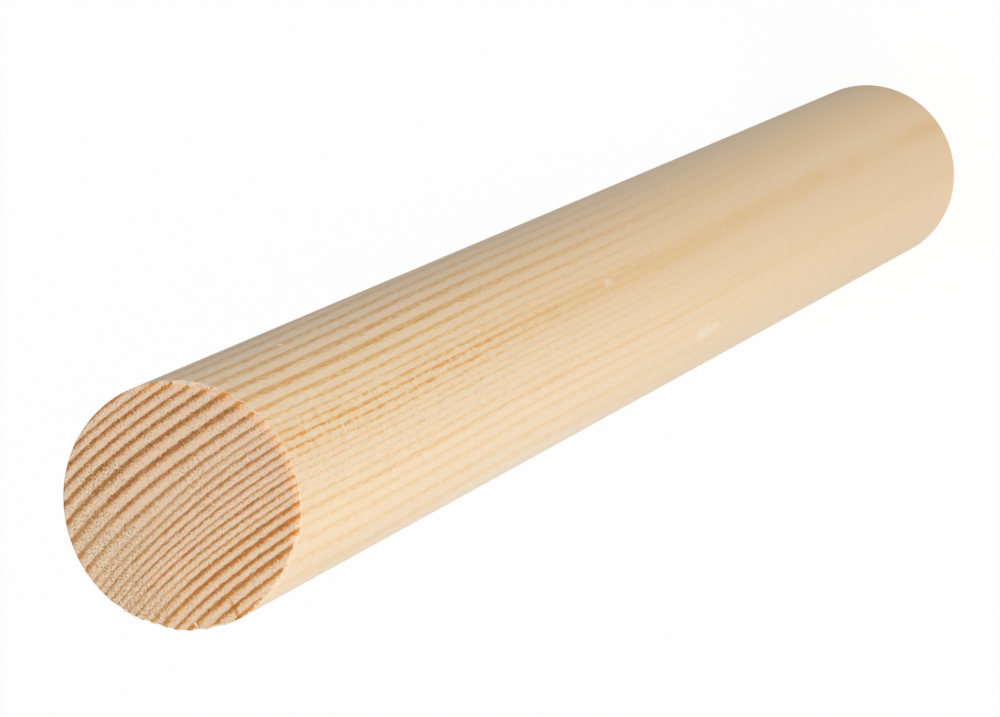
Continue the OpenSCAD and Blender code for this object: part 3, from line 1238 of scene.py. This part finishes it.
def make_floor_material():
    material = bpy.data.materials.new("white_floor")
    material.use_nodes = True
    tree = material.node_tree
    tree.nodes.clear()
    paint = add_node(tree, "ShaderNodeBsdfDiffuse", {"Color": FLOOR_WHITE})
    glow = add_node(tree, "ShaderNodeEmission", {"Color": (1, 1, 1, 1), "Strength": 1.0})
    seen = add_node(tree, "ShaderNodeLightPath")
    share = calc(tree, "MULTIPLY", seen.outputs["Is Camera Ray"], FLOOR_GLOW)
    both = add_node(tree, "ShaderNodeMixShader", {0: share, 1: paint.outputs[0], 2: glow.outputs[0]})
    add_node(tree, "ShaderNodeOutputMaterial", {"Surface": both.outputs[0]})
    return material


def make_floor():
    bm = bmesh.new()
    bmesh.ops.create_grid(bm, x_segments=1, y_segments=1, size=FLOOR_SIZE)
    mesh = bpy.data.meshes.new("floor")
    bm.to_mesh(mesh)
    bm.free()
    mesh.materials.append(make_floor_material())
    floor = bpy.data.objects.new("floor", mesh)
    bpy.context.scene.collection.objects.link(floor)
    return floor


floor = make_floor()
print(f"floor: {floor.dimensions.x:.0f} m wide")

# %% [markdown]
# A pale world lights the rod from all round. Three wide, soft lamps model its roundness: the
# strongest shines on the front, one on the side towards the pith, and a weak one from above.

# %% Light the rod
WORLD_COLOUR = (0.96, 0.98, 1.0, 1)
WORLD_STRENGTH = 0.22
LAMP_SIZE = 0.8
LAMP_REACH = 1.1
LAMP_AIM = Vector((0, 0, 0.2))
# Each lamp's bearing and height in degrees, and its power in watts
LAMPS = {"front_lamp": (-95, 40, 6.8), "side_lamp": (175, 35, 4.8), "top_lamp": (-120, 85, 2.3)}


def make_world():
    world = bpy.data.worlds.new("studio")
    world.use_nodes = True
    tree = world.node_tree
    tree.nodes.clear()
    around = add_node(tree, "ShaderNodeBackground", {"Color": WORLD_COLOUR, "Strength": WORLD_STRENGTH})
    add_node(tree, "ShaderNodeOutputWorld", {"Surface": around.outputs[0]})
    bpy.context.scene.world = world


def hang_lamp(name, bearing, height, watts):
    """A round soft lamp, aimed at the rod from a bearing and a height in degrees."""
    data = bpy.data.lights.new(name, "AREA")
    data.shape = "DISK"
    data.size = LAMP_SIZE
    data.energy = watts
    lamp = bpy.data.objects.new(name, data)
    level = math.cos(math.radians(height))
    towards = Vector((level * math.cos(math.radians(bearing)), level * math.sin(math.radians(bearing)),
                      math.sin(math.radians(height))))
    lamp.location = LAMP_AIM + LAMP_REACH * towards
    lamp.rotation_mode = "QUATERNION"
    lamp.rotation_quaternion = towards.to_track_quat("Z", "Y")
    bpy.context.scene.collection.objects.link(lamp)


make_world()
for name, (bearing, height, watts) in LAMPS.items():
    hang_lamp(name, bearing, height, watts)
print("lamps:", ", ".join(f"{name} {watts} W" for name, (_, _, watts) in LAMPS.items()))

# %% Finish
bpy.context.scene.view_settings.view_transform = "Standard"
